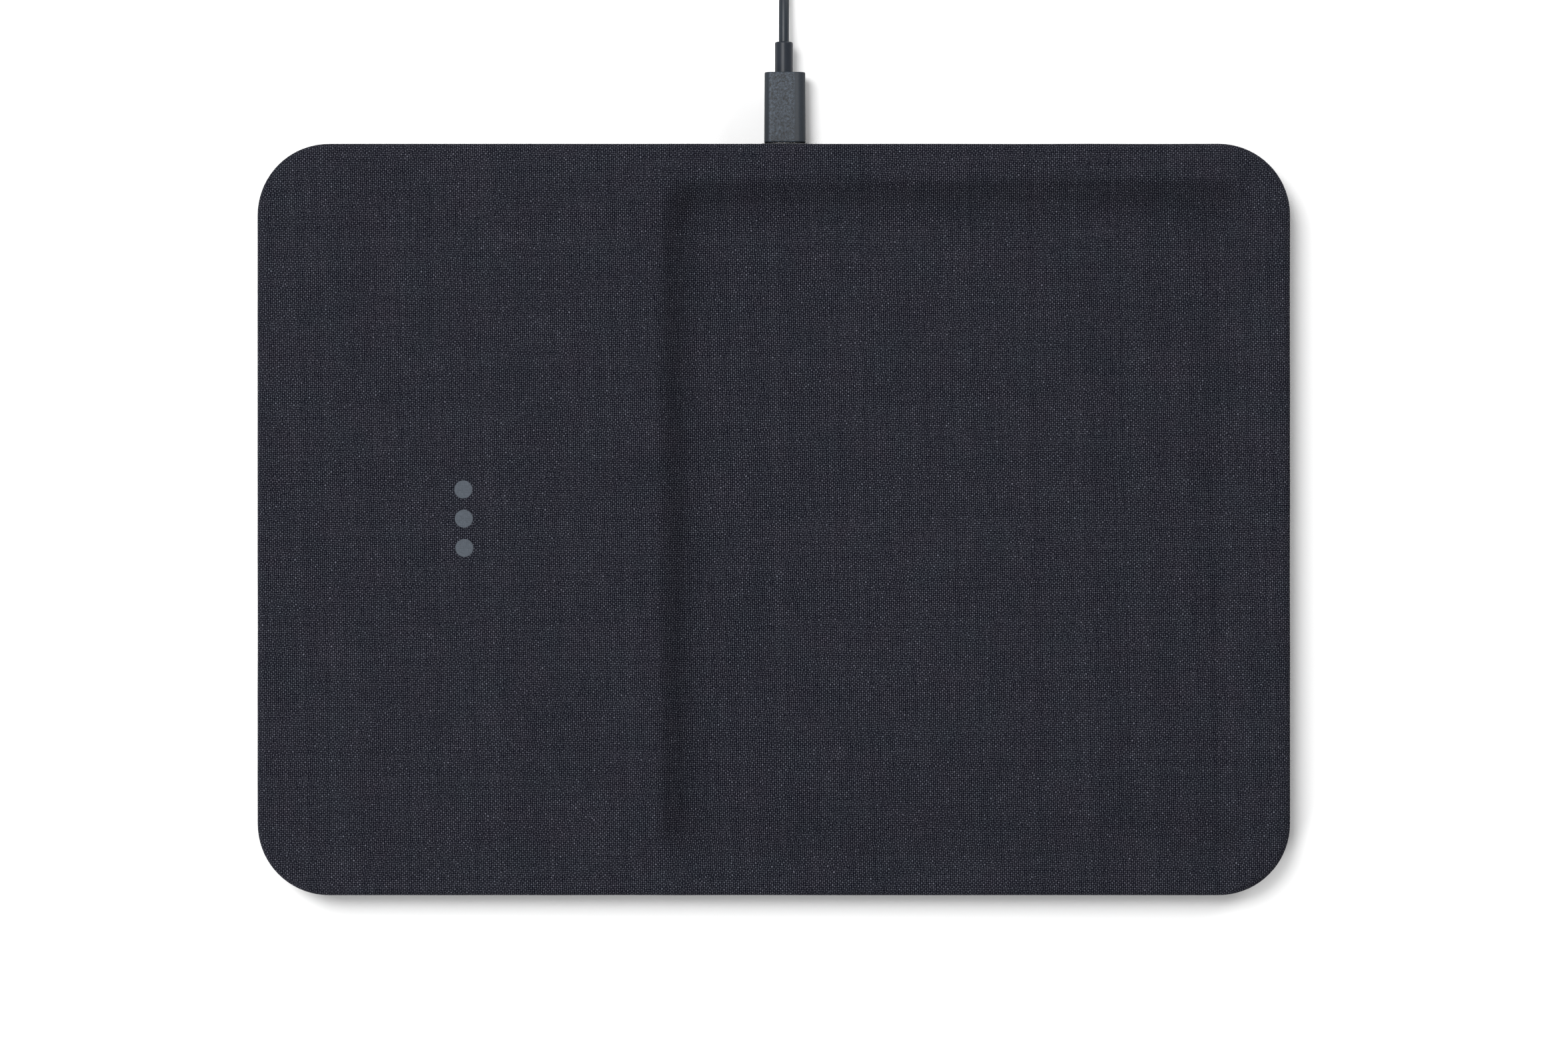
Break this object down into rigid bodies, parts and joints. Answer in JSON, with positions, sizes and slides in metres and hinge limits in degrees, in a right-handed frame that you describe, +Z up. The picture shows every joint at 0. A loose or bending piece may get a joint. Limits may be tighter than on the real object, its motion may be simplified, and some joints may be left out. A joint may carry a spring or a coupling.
{
  "type": "wireless charging pad",
  "caption": "Linen-wrapped wireless charging pad with a flat charging deck at one end and a shallow recessed tray at the other, on a rubber base, with its plug-in USB lead",
  "frame": {"origin": "centre of the pad on the surface it stands on", "axes": "+X along the pad's length towards the tray end, +Y to the rear edge with the USB port, +Z up out of the charging face"},
  "size_m": [0.26, 0.2804, 0.015],
  "materials": {
    "linen": "plain-woven charcoal linen, matt, with slubs",
    "ink": "thick pale grey screen ink, matt",
    "shell": "black moulded ABS, lightly textured",
    "rubber": "black silicone rubber, matt",
    "steel": "zinc-plated steel",
    "ballast": "plain pressed steel sheet",
    "foam": "closed-cell foam strip",
    "ferrite": "sintered ferrite, dark grey",
    "copper": "enamelled litz copper",
    "wire": "insulated stranded wire",
    "board": "green glass-epoxy board",
    "chip": "black moulded chip package",
    "capacitor": "ceramic chip capacitor with tinned ends",
    "socket": "ivory nylon connector housing",
    "led": "white chip LED",
    "pipe": "clear moulded acrylic",
    "contact": "gold-plated contact",
    "plug": "grey moulded plug body, fine matt grain",
    "cable": "grey cable jacket, satin",
    "strap": "black hook-and-loop strap",
    "insulator": "white plug insulator"
  },
  "bodies": {
    "pad": {"linen_cover": "linen", "locating_dots": "ink", "top_shell": "shell", "bottom_shell": "shell", "base_mat": "rubber", "case_screws": "steel", "ballast_plate": "ballast", "ballast_foam": "foam", "coil_carrier": "shell", "ferrite_plate": "ferrite", "charging_coil": "copper", "coil_leads": "copper", "thermistor": "chip", "control_board": "board", "controller_chip": "chip", "driver_transistors": "chip", "resonant_capacitors": "capacitor", "power_inductor": "ferrite", "filter_capacitors": "capacitor", "harness_socket": "socket", "board_screws": "steel", "status_led": "led", "light_pipe": "pipe", "power_harness": "wire", "usb_board": "board", "usb_board_screws": "steel", "receptacle_shell": "steel", "receptacle_tongue": "chip", "receptacle_contacts": "contact", "port_bezel": "shell"},
    "lead": {"plug_c_overmould": "plug", "plug_c_shell": "steel", "plug_c_insert": "chip", "plug_c_contacts": "contact", "plug_c_sleeve": "cable", "cable_lead": "cable", "cable_coil": "cable", "cable_tie": "strap", "cable_tail": "cable", "plug_a_sleeve": "cable", "plug_a_overmould": "plug", "plug_a_shell": "steel", "plug_a_insulator": "insulator", "plug_a_contacts": "contact"}
  },
  "joints": [
    {"name": "plug_slide", "type": "slide", "parent": "pad", "child": "lead", "axis": [0, 1, 0], "range_m": [0, 0.01]}
  ]
}
